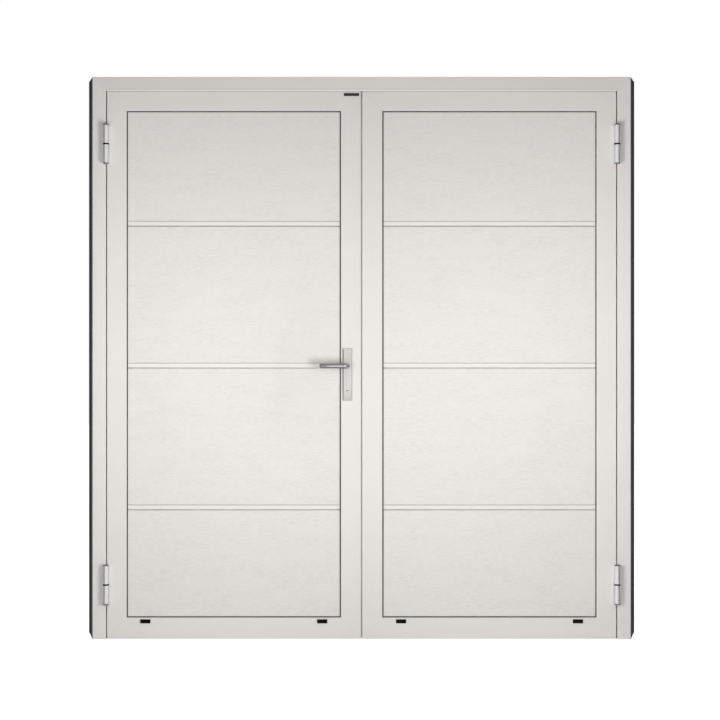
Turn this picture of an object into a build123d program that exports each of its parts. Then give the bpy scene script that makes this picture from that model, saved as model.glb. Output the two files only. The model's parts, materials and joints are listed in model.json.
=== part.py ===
from build123d import *
import os

# Double utility door with its frame: two outward-opening leaves of mitred hollow profiles,
# filled with stacked sandwich panels. The left leaf is active, the right one is held by flush bolts.
# Millimetres. X runs along the door, Y into the wall, Z up. The origin is on the floor,
# in the middle of the width and of the frame's depth.

# Frame
frame_width = 2000.0
frame_height = 2090.0
frame_depth = 60.0
frame_face = 50.0
stop_reach = 22.0
stop_depth = 16.0
threshold_height = 26.0
anchor_hole_radius = 5.25
anchor_from_floor = 250.0
anchor_from_top = 240.0
anchor_spacing = 550.0
head_anchor_offset = 500.0

# Leaves
leaf_gap = 4.0
meeting_gap = 8.0
floor_gap = 8.0
leaf_face = 73.0
panel_lip_width = 6.0
panel_lip_depth = 2.5

# Profiles in common
profile_wall = 2.0
profile_edge_radius = 1.2
cleat_arm_length = 90.0
cleat_thickness = 14.0
plug_depth = 10.0

# Seals
seal_space = 4.0
stop_gasket_width = 12.0
stop_gasket_inset = 6.0
stop_gasket_play = 0.4
panel_gasket_hold = 5.0
panel_gasket_show = 4.0
panel_gasket_depth = 2.5
bead_gasket_depth = 3.0
bead_gasket_width = 10.0
meeting_seal_reach = 3.5
meeting_seal_width = 8.0
meeting_seal_setback = 4.0
bulb_share = 0.85
bottom_seal_width = 8.0
bottom_seal_clearance = 1.5

# Side strips
strip_near_reach = 7.0
strip_far_reach = 14.0
strip_setback = 3.0
strip_step_depth = 4.0
strip_back_inset = 2.0
strip_top_cut = 18.0
strip_bottom_cut = 26.0
strip_hole_margin = 2.0

# Panels
panel_thickness = 40.0
panel_edge_gap = 2.0
panel_module = 527.5
middle_joint_drop = 13.5
panel_joint_gap = 3.0
tongue_width = 16.0
tongue_height = 12.0
tongue_play = 0.5
hem_height = 16.5
hem_groove_width = 3.0
hem_groove_depth = 2.0
panel_edge_break = 1.5

# Glazing beads
bead_width = 16.0
bead_wall = 1.5
bead_edge_radius = 3.0

# Drain caps
drain_from_end = 142.5
drain_cap_width = 38.0
drain_cap_height = 15.0
drain_cap_depth = 6.0
drain_cap_drop = 14.0
drain_cap_taper = 18.0
drain_slot_width = 24.0
drain_slot_height = 6.0

# Hinges
hinge_height = 145.0
hinge_from_end = 197.0
hinge_barrel_radius = 10.5
hinge_pin_radius = 6.0
hinge_plate_depth = 3.5
hinge_plate_reach = 20.0
hinge_plate_inset = 2.5
hinge_barrel_clearance = 0.5
hinge_ring_height = 5.5
hinge_ring_rim = 0.6
hinge_cap_height = 3.0
hinge_cap_plug = 8.0

# Lock
spindle_height = 1016.0
backset = 48.0
cylinder_drop = 92.0
spindle_size = 8.0
spindle_hole_radius = 9.0
faceplate_width = 22.0
faceplate_depth = 3.0
faceplate_above = 85.0
faceplate_below = 165.0
lock_case_depth = 16.0
lock_case_wall = 1.2
lock_case_above = 45.0
lock_case_below = 137.0
bolt_thickness = 11.0
latch_height = 18.0
latch_rise = 17.0
latch_reach = 5.0
latch_head_length = 21.0
latch_bevel = 7.0
latch_tail_radius = 2.2
latch_lug_depth = 2.0
latch_lug_width = 6.0
dead_bolt_height = 28.0
dead_bolt_rise = 38.0
dead_bolt_head = 30.0
dead_bolt_tail = 27.0
dead_bolt_tail_thickness = 5.0
dead_bolt_talon_height = 7.5
dead_bolt_notch_width = 10.0
dead_bolt_set_back = 1.0
follower_radius = 8.5
follower_arm = 12.6
follower_arm_width = 3.0
lug_clearance_height = 10.2

# Profile cylinder
cylinder_radius = 8.5
cylinder_tail_width = 10.0
cylinder_height = 33.0
cylinder_stand_out = 1.5
plug_radius = 6.5
cam_radius = 14.8
cam_hub_radius = 8.0
cam_width = 9.6
cam_lobe_width = 7.0
key_slot_width = 9.0
key_slot_height = 2.4
key_slot_depth = 6.0

# Handles
handle_plate_width = 34.0
handle_plate_above = 65.0
handle_plate_below = 130.0
handle_plate_depth = 9.0
handle_plate_corner = 4.0
handle_plate_edge = 2.5
lever_radius = 10.2
lever_length = 103.0
lever_stand_out = 54.0
lever_elbow = 17.0
lever_tip_edge = 1.5
lever_seat_gap = 1.0
spindle_socket = 24.0

# Strike plate and flush bolts
strike_play = 1.5
bolt_radius = 4.0
bolt_from_edge = 11.0
bolt_length = 380.0
bolt_rest_gap = 1.0
bolt_hole_play = 0.5
bolt_plate_width = 11.0
bolt_plate_length = 130.0
bolt_plate_depth = 2.5
bolt_travel = 20.0
thumb_length = 24.0
thumb_width = 6.0
thumb_set_back = 0.8

# Clearances: pieces at rest in each other, pieces that turn or slide, and the overrun of cuts
fit_gap = 0.2
run_gap = 0.05
slide_gap = 0.3
overrun = 5.0

# Places worked out from the sizes above
front = -frame_depth / 2
back = frame_depth / 2
stop_front = back - stop_depth
lip_back = stop_front - seal_space
frame_inner = frame_face + stop_reach
top_anchor = frame_height - anchor_from_top
anchor_heights = (
    anchor_from_floor,
    anchor_from_floor + anchor_spacing,
    top_anchor - anchor_spacing,
    top_anchor,
)
leaf_body = leaf_face - panel_lip_width
hinge_edge = -(frame_width / 2 - frame_face - leaf_gap)
meeting_edge = -meeting_gap / 2
leaf_bottom = floor_gap
leaf_top = frame_height - frame_face - leaf_gap
panel_front = front + panel_lip_depth + panel_gasket_depth
panel_back = panel_front + panel_thickness
bead_front = panel_back + bead_gasket_depth
hinge_axis_x = -(frame_width / 2 - frame_face - leaf_gap / 2)
hinge_stand_off = hinge_barrel_radius + hinge_barrel_clearance + hinge_plate_depth
hinge_axis_y = front - hinge_stand_off
hinge_centres = (leaf_bottom + hinge_from_end, leaf_top - hinge_from_end)
lock_y = (front + lip_back) / 2
spindle_x = meeting_edge - backset
cylinder_z = spindle_height - cylinder_drop
latch_z = spindle_height + latch_rise
dead_bolt_z = cylinder_z + dead_bolt_rise
case_far = leaf_body - profile_wall - 2 * fit_gap
bolt_x = -meeting_edge + bolt_from_edge
bolt_y = (stop_front + back) / 2

across_right = Vector(1, 0, 0)
across_left = Vector(-1, 0, 0)
across_up = Vector(0, 0, 1)
across_down = Vector(0, 0, -1)
inward = Vector(0, 1, 0)


# Shapes in common
def outline(*points):
    return make_face(Polyline(*points, close=True))


def rounded_outline(points, radii):
    return make_face(FilletPolyline(*points, radius=radii, close=True))


def window(low, high):
    return outline(low, (high[0], low[1]), high, (low[0], high[1]))


def block(x, y, z):
    middle = Pos((x[0] + x[1]) / 2, (y[0] + y[1]) / 2, (z[0] + z[1]) / 2)
    return middle * Box(x[1] - x[0], y[1] - y[0], z[1] - z[0])


def along_x(sketch, x):
    return extrude(Plane((x[0], 0, 0), x_dir=inward, z_dir=across_right) * sketch, amount=x[1] - x[0])


def along_y(sketch, x, y, z):
    return extrude(Plane((x, y[1], z), x_dir=across_right, z_dir=-inward) * sketch, amount=y[1] - y[0])


def along_z(sketch, x, y, z):
    return extrude(Pos(x, y, z[0]) * sketch, amount=z[1] - z[0])


def rod_x(x, y, z, radius):
    return Plane((x[0], y, z), x_dir=inward, z_dir=across_right) * Cylinder(
        radius, x[1] - x[0], align=(Align.CENTER, Align.CENTER, Align.MIN)
    )


def mirrored(shape):
    return mirror(shape, about=Plane.YZ)


def group(shapes):
    return Compound(children=[solid for shape in shapes for solid in shape.solids()])


# A length of profile. Its section runs across from the outer edge and back along Y.
# A mitred end is cut at 45 degrees, longest at the outer edge.
def bar(section, length, origin, across, start_mitre=True, end_mitre=True):
    reach = section.bounding_box().max.X
    start_cut = reach if start_mitre else 0
    end_cut = reach if end_mitre else 0
    trim = outline((0, 0), (reach, start_cut), (reach, length - end_cut), (0, length))
    solid = extrude(section, amount=length) & along_y(trim, 0, (front, back), 0)
    return Plane(origin, x_dir=across, z_dir=across.cross(inward)) * solid


# Sections of the profiles: first value across the face, second value depth
def frame_section():
    points = (
        (0, front),
        (frame_face, front),
        (frame_face, stop_front),
        (frame_inner, stop_front),
        (frame_inner, back),
        (0, back),
    )
    edge = profile_edge_radius
    shape = rounded_outline(points, (edge, edge, 0, edge, edge, 0))
    front_chamber = window((profile_wall, front + profile_wall), (frame_face - profile_wall, stop_front))
    rear_chamber = window(
        (profile_wall, stop_front + profile_wall), (frame_inner - profile_wall, back - profile_wall)
    )
    return shape - front_chamber - rear_chamber


def leaf_section(rebate):
    edge = profile_edge_radius
    points = [
        (0, front),
        (leaf_face, front),
        (leaf_face, front + panel_lip_depth),
        (leaf_body, front + panel_lip_depth),
        (leaf_body, back),
        (rebate, back),
    ]
    radii = [edge, edge, 0, 0, 0, edge]
    if rebate > 0:
        points += [(rebate, lip_back), (0, lip_back)]
        radii += [0, edge]
    shape = rounded_outline(points, radii)
    inner = leaf_body - profile_wall
    front_chamber = window((profile_wall, front + profile_wall), (inner, lip_back - profile_wall))
    rear_chamber = window((rebate + profile_wall, lip_back), (inner, back - profile_wall))
    return shape - front_chamber - rear_chamber


# An angle in the front chamber of a mitred corner, turned towards the middle of its frame
def cleat(corner_x, corner_z, turn_x, turn_z, depth):
    inset = profile_wall + fit_gap
    arm = inset + cleat_arm_length
    heel = inset + cleat_thickness
    points = ((inset, inset), (arm, inset), (arm, heel), (heel, heel), (heel, arm), (inset, arm))
    turned = [(turn_x * across, turn_z * rise) for across, rise in points]
    return along_y(outline(*turned), corner_x, (depth[0] + fit_gap, depth[1] - fit_gap), corner_z)


# Frame
def anchor_holes(radius):
    low = frame_width / 2 - frame_inner
    high = frame_width / 2 + strip_far_reach + overrun
    y = (front + stop_front) / 2
    return [rod_x((low, high), y, z, radius) for z in anchor_heights]


def jambs():
    section = frame_section()
    start = (frame_width / 2, 0, frame_height)
    jamb = bar(section, frame_height, start, across_left, end_mitre=False)
    jamb -= anchor_holes(anchor_hole_radius)
    return mirrored(jamb), jamb


def flush_bolt_hole(z):
    hole = Circle(bolt_radius + bolt_hole_play)
    return along_z(hole, bolt_x, bolt_y, z)


def head():
    shape = bar(frame_section(), frame_width, (-frame_width / 2, 0, frame_height), across_down)
    y = (front + stop_front) / 2
    for x in (-head_anchor_offset, head_anchor_offset):
        shape -= along_z(Circle(anchor_hole_radius), x, y, (leaf_top, frame_height + overrun))
    stop_under = frame_height - frame_inner
    return shape - flush_bolt_hole((stop_under - overrun, stop_under + profile_wall))


def threshold():
    edge = profile_edge_radius
    points = ((0, stop_front), (threshold_height, stop_front), (threshold_height, back), (0, back))
    section = rounded_outline(points, (0, edge, edge, 0))
    section -= window(
        (profile_wall, stop_front + profile_wall), (threshold_height - profile_wall, back - profile_wall)
    )
    half = frame_width / 2 - frame_inner
    shape = bar(section, 2 * half, (half, 0, 0), across_up, start_mitre=False, end_mitre=False)
    return shape - flush_bolt_hole((threshold_height - profile_wall, threshold_height + overrun))


def frame_cleats():
    depth = (front + profile_wall, stop_front)
    right = cleat(frame_width / 2, frame_height, -1, -1, depth)
    return group([mirrored(right), right])


def stop_gaskets():
    depth = (stop_front - seal_space + stop_gasket_play, stop_front)
    low = frame_face + stop_gasket_inset
    strip = window((low, depth[0]), (low + stop_gasket_width, depth[1]))
    right = bar(strip, frame_height, (frame_width / 2, 0, frame_height), across_left, end_mitre=False)
    top = bar(strip, frame_width, (-frame_width / 2, 0, frame_height), across_down)
    half = frame_width / 2 - frame_inner
    high = threshold_height - profile_wall
    bottom = block((-half, half), depth, (high - stop_gasket_width, high))
    return group([mirrored(right), right, top, bottom])


# The dark joint strip beside a jamb: a near step and a far step, with slanted ends
def side_strip():
    side = frame_width / 2
    near = front + strip_setback
    step = near + strip_step_depth
    end = back - strip_back_inset
    section = outline(
        (0, near),
        (strip_near_reach, near),
        (strip_near_reach, step),
        (strip_far_reach, step),
        (strip_far_reach, end),
        (0, end),
    )
    ends = outline(
        (0, 0),
        (strip_far_reach, strip_bottom_cut),
        (strip_far_reach, frame_height - strip_top_cut),
        (0, frame_height),
    )
    shape = along_z(section, side, 0, (0, frame_height)) & along_y(ends, side, (front, back), 0)
    return shape - anchor_holes(anchor_hole_radius + strip_hole_margin)


# Leaves: everything here is the left leaf, and the right one mirrors it
def leaf_loop(section_of):
    width = meeting_edge - hinge_edge
    height = leaf_top - leaf_bottom
    hinge_side = bar(section_of("hinge"), height, (hinge_edge, 0, leaf_bottom), across_right)
    top = bar(section_of("top"), width, (hinge_edge, 0, leaf_top), across_down)
    meeting_side = bar(section_of("meeting"), height, (meeting_edge, 0, leaf_top), across_left)
    bottom = bar(section_of("bottom"), width, (meeting_edge, 0, leaf_bottom), across_up)
    return hinge_side, top, meeting_side, bottom


# The meeting stile is full depth along its edge, so its ends are notched round the stop and threshold
def leaf_bars():
    stepped = leaf_section(stop_reach)
    straight = leaf_section(0)
    bars = leaf_loop(lambda side: straight if side == "meeting" else stepped)
    hinge_stile, top_rail, meeting_stile, bottom_rail = bars
    across = (meeting_edge - leaf_face, meeting_edge + overrun)
    for low, high in ((leaf_top - stop_reach, leaf_top), (leaf_bottom, leaf_bottom + stop_reach)):
        meeting_stile -= block(across, (lip_back, back), (low, high))
    for x, z in drain_places():
        reach = (drain_slot_width / 2, drain_slot_height / 2)
        bottom_rail -= block(
            (x - reach[0], x + reach[0]), (front, front + profile_wall), (z - reach[1], z + reach[1])
        )
    return hinge_stile, top_rail, meeting_stile, bottom_rail


def leaf_cleats():
    depth = (front + profile_wall, lip_back - profile_wall)
    corners = [(hinge_edge, 1), (meeting_edge, -1)]
    levels = [(leaf_bottom, 1), (leaf_top, -1)]
    return group([cleat(x, z, turn_x, turn_z, depth) for x, turn_x in corners for z, turn_z in levels])


def stile_plugs(hole_radius):
    across = (meeting_edge - stop_reach + fit_gap, meeting_edge - profile_wall - fit_gap)
    depth = (lip_back + fit_gap, back - profile_wall - fit_gap)
    low = leaf_bottom + stop_reach
    high = leaf_top - stop_reach
    plugs = [block(across, depth, (low, low + plug_depth)), block(across, depth, (high - plug_depth, high))]
    if hole_radius > 0:
        hole = along_z(Circle(hole_radius), -bolt_x, bolt_y, (leaf_bottom, leaf_top))
        plugs = [plug - hole for plug in plugs]
    return group(plugs)


def joint_heights():
    middle = (leaf_bottom + leaf_top) / 2 - middle_joint_drop
    return (middle - panel_module, middle, middle + panel_module)


# One panel's section, from its front foot round by the top: the hem is a shallow groove above the foot
def panel_section(low, high, has_groove, has_tongue):
    tongue_middle = (panel_front + panel_back) / 2
    tongue = (tongue_middle - tongue_width / 2, tongue_middle + tongue_width / 2)
    cut = panel_edge_break
    hem = low + hem_height
    half = hem_groove_width / 2
    points = [(panel_front + cut, low), (panel_front, low + cut)]
    if has_groove:
        points += [
            (panel_front, hem - half),
            (panel_front + hem_groove_depth, hem),
            (panel_front, hem + half),
        ]
    points += [(panel_front, high - cut), (panel_front + cut, high)]
    if has_tongue:
        crest = high + tongue_height
        points += [(tongue[0], high), (tongue[0] + cut, crest), (tongue[1] - cut, crest), (tongue[1], high)]
    points += [(panel_back - cut, high), (panel_back, high - cut)]
    if has_groove:
        points += [
            (panel_back, hem + half),
            (panel_back - hem_groove_depth, hem),
            (panel_back, hem - half),
        ]
    points += [(panel_back, low + cut), (panel_back - cut, low)]
    if has_groove:
        root = low - panel_joint_gap + tongue_height + tongue_play
        points += [
            (tongue[1] + tongue_play, low),
            (tongue[1] + tongue_play - cut, root),
            (tongue[0] - tongue_play + cut, root),
            (tongue[0] - tongue_play, low),
        ]
    return outline(*points)


def panels():
    inset = leaf_body + panel_edge_gap
    across = (hinge_edge + inset, meeting_edge - inset)
    joints = joint_heights()
    lows = [leaf_bottom + inset] + [z + panel_joint_gap / 2 for z in joints]
    highs = [z - panel_joint_gap / 2 for z in joints] + [leaf_top - inset]
    return [
        along_x(panel_section(low, high, number > 0, number < len(joints)), across)
        for number, (low, high) in enumerate(zip(lows, highs))
    ]


def panel_gaskets():
    outer = window(
        (leaf_face - panel_gasket_hold, front + panel_lip_depth), (leaf_face + panel_gasket_show, panel_front)
    )
    inner_high = leaf_body + bead_width - profile_wall
    inner = window((inner_high - bead_gasket_width, panel_back), (inner_high, bead_front))
    return group([*leaf_loop(lambda side: outer), *leaf_loop(lambda side: inner)])


def beads():
    high = leaf_body + bead_width
    points = ((leaf_body, bead_front), (high, bead_front), (high, back), (leaf_body, back))
    section = rounded_outline(points, (0, 0, bead_edge_radius, 0))
    section -= window(
        (leaf_body + bead_wall, bead_front + bead_wall), (high - bead_edge_radius, back - bead_wall)
    )
    return group(leaf_loop(lambda side: section))


def drain_places():
    z = leaf_bottom + leaf_face - drain_cap_drop
    return ((hinge_edge + drain_from_end, z), (meeting_edge - drain_from_end, z))


# A hooded cap over a drain slot, with a spigot in the slot
def drain_caps():
    caps = []
    for x, z in drain_places():
        face = Plane((x, front, z), x_dir=across_right, z_dir=-inward)
        hood = extrude(face * Rectangle(drain_cap_width, drain_cap_height), amount=drain_cap_depth,
                       taper=drain_cap_taper)
        spigot = Rectangle(drain_slot_width - 2 * fit_gap, drain_slot_height - 2 * fit_gap)
        caps.append(hood + along_y(spigot, x, (front, front + profile_wall), z))
    return group(caps)


def edge_seals():
    y = front + meeting_seal_setback
    points = (
        (meeting_edge, y),
        (meeting_edge + meeting_seal_reach, y),
        (meeting_edge + meeting_seal_reach, y + meeting_seal_width),
        (meeting_edge, y + meeting_seal_width),
    )
    bulb = min(meeting_seal_reach, meeting_seal_width / 2) * bulb_share
    upright = along_z(rounded_outline(points, (0, bulb, bulb, 0)), 0, 0, (leaf_bottom, leaf_top))
    middle = (front + lip_back) / 2
    depth = (middle - bottom_seal_width / 2, middle + bottom_seal_width / 2)
    blade = block((hinge_edge, meeting_edge), depth, (bottom_seal_clearance, leaf_bottom))
    return group([upright, blade])


# Hinges: a barrel with a neck and a plate on each side, made for the left side
def barrel(z, radius=hinge_barrel_radius):
    return along_z(Circle(radius), hinge_axis_x, hinge_axis_y, z)


def hinge_levels(centre):
    low = centre - hinge_height / 2
    frame_low = low + hinge_cap_height
    leaf_high = low + hinge_height - hinge_cap_height
    ring = (centre - hinge_ring_height / 2, centre + hinge_ring_height / 2)
    return low, frame_low, ring, leaf_high


def hinge_half(centre, side):
    low, frame_low, ring, leaf_high = hinge_levels(centre)
    lift = 2 * run_gap
    knuckle = (frame_low, ring[0]) if side < 0 else (ring[1] + lift, leaf_high - lift)
    plate_x = sorted(hinge_axis_x + side * reach for reach in (hinge_plate_inset, hinge_plate_reach))
    neck_x = sorted((hinge_axis_x, hinge_axis_x + side * hinge_barrel_radius))
    plate = block(plate_x, (front - hinge_plate_depth, front), (frame_low, leaf_high))
    neck = block(neck_x, (hinge_axis_y, front), knuckle)
    bore = hinge_pin_radius + (0 if side < 0 else run_gap)
    return barrel(knuckle) + neck + plate - barrel((low, leaf_high + overrun), bore)


def hinge_pin(centre):
    low, frame_low, ring, leaf_high = hinge_levels(centre)
    shank = barrel((frame_low + hinge_cap_plug, leaf_high), hinge_pin_radius)
    return shank + barrel((leaf_high, leaf_high + hinge_cap_height))


def hinge_ring(centre):
    ring = hinge_levels(centre)[2]
    return barrel(ring, hinge_barrel_radius + hinge_ring_rim) - barrel(ring, hinge_pin_radius + run_gap)


def hinge_cap(centre):
    low, frame_low = hinge_levels(centre)[:2]
    return barrel((low, frame_low)) + barrel((low, frame_low + hinge_cap_plug), hinge_pin_radius)


def both_sides(shapes):
    return group([*shapes, *[mirrored(shape) for shape in shapes]])


# Lock in the left meeting stile, placed by distances from the leaf's meeting edge
def from_edge(near, far):
    return (meeting_edge - far, meeting_edge - near)


def about(middle, size):
    return (middle - size / 2, middle + size / 2)


def faceplate_levels():
    return (spindle_height - faceplate_below, spindle_height + faceplate_above)


def case_levels():
    return (spindle_height - lock_case_below, spindle_height + lock_case_above)


def cylinder_sketch(play=0.0):
    radius = cylinder_radius + play
    half = cylinder_tail_width / 2 + play
    foot = cylinder_height - cylinder_radius - cylinder_tail_width / 2
    tail = window((-half, -foot), (half, 0))
    return Circle(radius) + tail + Pos(0, -foot) * Circle(half)


def cylinder_hole(depth):
    return along_y(cylinder_sketch(fit_gap), spindle_x, depth, cylinder_z)


def spindle_hole(depth, radius=spindle_hole_radius):
    return along_y(Circle(radius), spindle_x, depth, spindle_height)


def lock_stile(stile):
    through = (front - overrun, back + overrun)
    slot = block(
        from_edge(-overrun, profile_wall),
        about(lock_y, faceplate_width + 2 * fit_gap),
        (faceplate_levels()[0] - fit_gap, faceplate_levels()[1] + fit_gap),
    )
    return stile - slot - spindle_hole(through) - cylinder_hole(through)


def bolt_windows(across, play):
    thickness = about(lock_y, bolt_thickness + 2 * play)
    return [
        block(across, thickness, about(latch_z, latch_height + 2 * play)),
        block(across, thickness, about(dead_bolt_z, dead_bolt_height + 2 * play)),
    ]


def faceplate():
    plate = block(from_edge(0, faceplate_depth), about(lock_y, faceplate_width), faceplate_levels())
    return plate - bolt_windows(from_edge(-overrun, faceplate_depth + overrun), slide_gap)


def lock_case():
    depth = (lock_y - lock_case_depth / 2, lock_y + lock_case_depth / 2 - lock_case_wall)
    low, high = case_levels()
    wall = lock_case_wall
    tray = block(from_edge(faceplate_depth, case_far), depth, (low, high))
    tray -= block(
        from_edge(faceplate_depth, case_far - wall),
        (depth[0] + wall, depth[1]),
        (low + wall, high - wall),
    )
    return tray - spindle_hole(depth, follower_radius - wall) - cylinder_hole(depth)


def lock_cover():
    high = lock_y + lock_case_depth / 2
    depth = (high - lock_case_wall, high)
    plate = block(from_edge(faceplate_depth, case_far), depth, case_levels())
    return plate - spindle_hole(depth, follower_radius - lock_case_wall) - cylinder_hole(depth)


def latch_bolt():
    tip = meeting_edge + latch_reach
    heel = tip - latch_head_length
    thickness = about(0, bolt_thickness)
    nose = outline(
        (heel, thickness[0]),
        (tip, thickness[0]),
        (tip, thickness[1] - latch_bevel),
        (tip - latch_bevel, thickness[1]),
        (heel, thickness[1]),
    )
    bolt = along_z(nose, 0, lock_y, about(latch_z, latch_height))
    lug_near = backset + follower_arm_width / 2 + slide_gap
    lug_x = from_edge(lug_near, lug_near + latch_lug_depth)
    tail = rod_x((lug_x[0], heel), lock_y, latch_z, latch_tail_radius)
    lug = block(lug_x, about(lock_y, latch_lug_width), (spindle_height + lug_clearance_height, latch_z))
    return bolt + tail + lug


def dead_bolt():
    head_far = dead_bolt_set_back + dead_bolt_head
    tail_far = head_far + dead_bolt_tail
    levels = about(dead_bolt_z, dead_bolt_height)
    bolt = block(from_edge(dead_bolt_set_back, head_far), about(lock_y, bolt_thickness), levels)
    tail = block(
        from_edge(head_far, tail_far),
        about(lock_y, dead_bolt_tail_thickness),
        (levels[0] - dead_bolt_talon_height, levels[1]),
    )
    notch = block(
        about(spindle_x, dead_bolt_notch_width),
        about(lock_y, dead_bolt_tail_thickness),
        (levels[0] - dead_bolt_talon_height, levels[0]),
    )
    return bolt + (tail - notch)


def square(x, size, depth, z):
    return along_y(Rectangle(size, size), x, depth, z)


def lever_reach():
    return handle_plate_depth + spindle_socket


def spindle():
    reach = lever_reach() - slide_gap
    return square(spindle_x, spindle_size, (front - reach, back + reach), spindle_height)


def follower():
    width = lock_case_depth - 2 * lock_case_wall - 2 * fit_gap
    hub = along_y(Circle(follower_radius), spindle_x, about(lock_y, width), spindle_height)
    arm = block(
        about(spindle_x, follower_arm_width),
        about(lock_y, latch_lug_width),
        (spindle_height, spindle_height + follower_arm),
    )
    bore = square(spindle_x, spindle_size + 2 * run_gap, about(lock_y, lock_case_depth), spindle_height)
    return hub + arm - bore


# The lever comes out of its seat, bends and runs along the door to a flat end
def outside_lever():
    seat = (spindle_x, front - lever_seat_gap, spindle_height)
    grip = front - lever_stand_out
    corner = (spindle_x, grip, spindle_height)
    tip = (spindle_x - lever_length, grip, spindle_height)
    path = FilletPolyline(seat, corner, tip, radius=lever_elbow)
    section = Plane(seat, x_dir=across_right, z_dir=-inward) * Circle(lever_radius)
    lever = sweep(section, path=path)
    end_edges = lever.faces().sort_by(Axis.X)[0].edges()
    lever = chamfer(end_edges, lever_tip_edge)
    depth = (front - lever_reach(), front + overrun)
    return lever - square(spindle_x, spindle_size + 2 * run_gap, depth, spindle_height)


def outside_plate():
    low = spindle_height - handle_plate_below
    height = handle_plate_above + handle_plate_below
    sketch = RectangleRounded(handle_plate_width, height, handle_plate_corner)
    depth = (front - handle_plate_depth, front)
    plate = along_y(sketch, spindle_x, depth, low + height / 2)
    plate = chamfer(plate.faces().sort_by(Axis.Y)[0].edges(), handle_plate_edge)
    hole_depth = (depth[0] - overrun, depth[1] + overrun)
    return plate - spindle_hole(hole_depth, lever_radius + run_gap) - cylinder_hole(hole_depth)


def cylinder_ends():
    reach = handle_plate_depth + cylinder_stand_out
    return (front - reach, back + reach)


def cylinder_body():
    ends = cylinder_ends()
    body = along_y(cylinder_sketch(), spindle_x, ends, cylinder_z)
    bore = along_y(Circle(plug_radius + run_gap), spindle_x, ends, cylinder_z)
    slot = block(
        about(spindle_x, 2 * cam_radius),
        about(lock_y, cam_width + 2 * slide_gap),
        (cylinder_z - cam_radius - slide_gap, cylinder_z + cylinder_radius),
    )
    return body - bore - slot


# The key plug turns the cam. Its slot is cut in the outside end only.
def key_plug():
    ends = cylinder_ends()
    plug = along_y(Circle(plug_radius), spindle_x, ends, cylinder_z)
    lobe_foot = cam_radius - cam_lobe_width / 2
    lobe = window((-cam_lobe_width / 2, -lobe_foot), (cam_lobe_width / 2, 0))
    cam = Circle(cam_hub_radius) + lobe + Pos(0, -lobe_foot) * Circle(cam_lobe_width / 2)
    plug += along_y(cam, spindle_x, about(lock_y, cam_width), cylinder_z)
    slot = block(
        about(spindle_x, key_slot_width), (ends[0], ends[0] + key_slot_depth), about(cylinder_z, key_slot_height)
    )
    return plug - slot


# Right meeting stile: strike plate and flush bolts
def right_edge(near, far):
    return (-meeting_edge + near, -meeting_edge + far)


def strike_plate():
    plate = block(right_edge(0, faceplate_depth), about(lock_y, faceplate_width), faceplate_levels())
    return plate - bolt_windows(right_edge(-overrun, faceplate_depth + overrun), strike_play)


def bolt_ends():
    return (leaf_bottom + stop_reach + bolt_rest_gap, leaf_top - stop_reach - bolt_rest_gap)


def thumb_levels(turn):
    end = bolt_ends()[0] if turn > 0 else bolt_ends()[1]
    inner = end + turn * bolt_length
    return sorted((inner, inner - turn * thumb_length))


# The thumb piece slides away from the middle of the leaf, so the slot is longer on that side
def bolt_slot(turn):
    low, high = thumb_levels(turn)
    ends = sorted((low - turn * bolt_travel, high - turn * bolt_travel))
    return (min(low, ends[0]) - slide_gap, max(high, ends[1]) + slide_gap)


def flush_bolt(turn):
    end = bolt_ends()[0] if turn > 0 else bolt_ends()[1]
    levels = sorted((end, end + turn * bolt_length))
    rod = along_z(Circle(bolt_radius), bolt_x, bolt_y, levels)
    thumb = block(
        (-meeting_edge + thumb_set_back, bolt_x), about(bolt_y, thumb_width), thumb_levels(turn)
    )
    return rod + thumb


def bolt_plate_levels(turn):
    return about(sum(bolt_slot(turn)) / 2, bolt_plate_length)


def bolt_plate(turn):
    plate = block(right_edge(0, bolt_plate_depth), about(bolt_y, bolt_plate_width), bolt_plate_levels(turn))
    across = right_edge(-overrun, bolt_plate_depth + overrun)
    return plate - block(across, about(bolt_y, thumb_width + 2 * slide_gap), bolt_slot(turn))


def strike_stile(stile):
    low, high = faceplate_levels()
    stile -= block(
        right_edge(-overrun, profile_wall),
        about(lock_y, faceplate_width + 2 * fit_gap),
        (low - fit_gap, high + fit_gap),
    )
    for turn in (1, -1):
        low, high = bolt_plate_levels(turn)
        stile -= block(
            right_edge(-overrun, profile_wall),
            about(bolt_y, bolt_plate_width + 2 * fit_gap),
            (low - fit_gap, high + fit_gap),
        )
    return stile


# The nodes, by body
def frame_nodes():
    left_jamb, right_jamb = jambs()
    strip = side_strip()
    frame_halves = [hinge_half(centre, -1) for centre in hinge_centres]
    return {
        "left_jamb": left_jamb,
        "right_jamb": right_jamb,
        "head": head(),
        "threshold": threshold(),
        "frame_corner_cleats": frame_cleats(),
        "stop_gaskets": stop_gaskets(),
        "left_side_strip": mirrored(strip),
        "right_side_strip": strip,
        "left_hinge_frame_halves": group(frame_halves),
        "right_hinge_frame_halves": group([mirrored(half) for half in frame_halves]),
        "hinge_pins": both_sides([hinge_pin(centre) for centre in hinge_centres]),
        "hinge_rings": both_sides([hinge_ring(centre) for centre in hinge_centres]),
        "hinge_caps": both_sides([hinge_cap(centre) for centre in hinge_centres]),
    }


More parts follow.
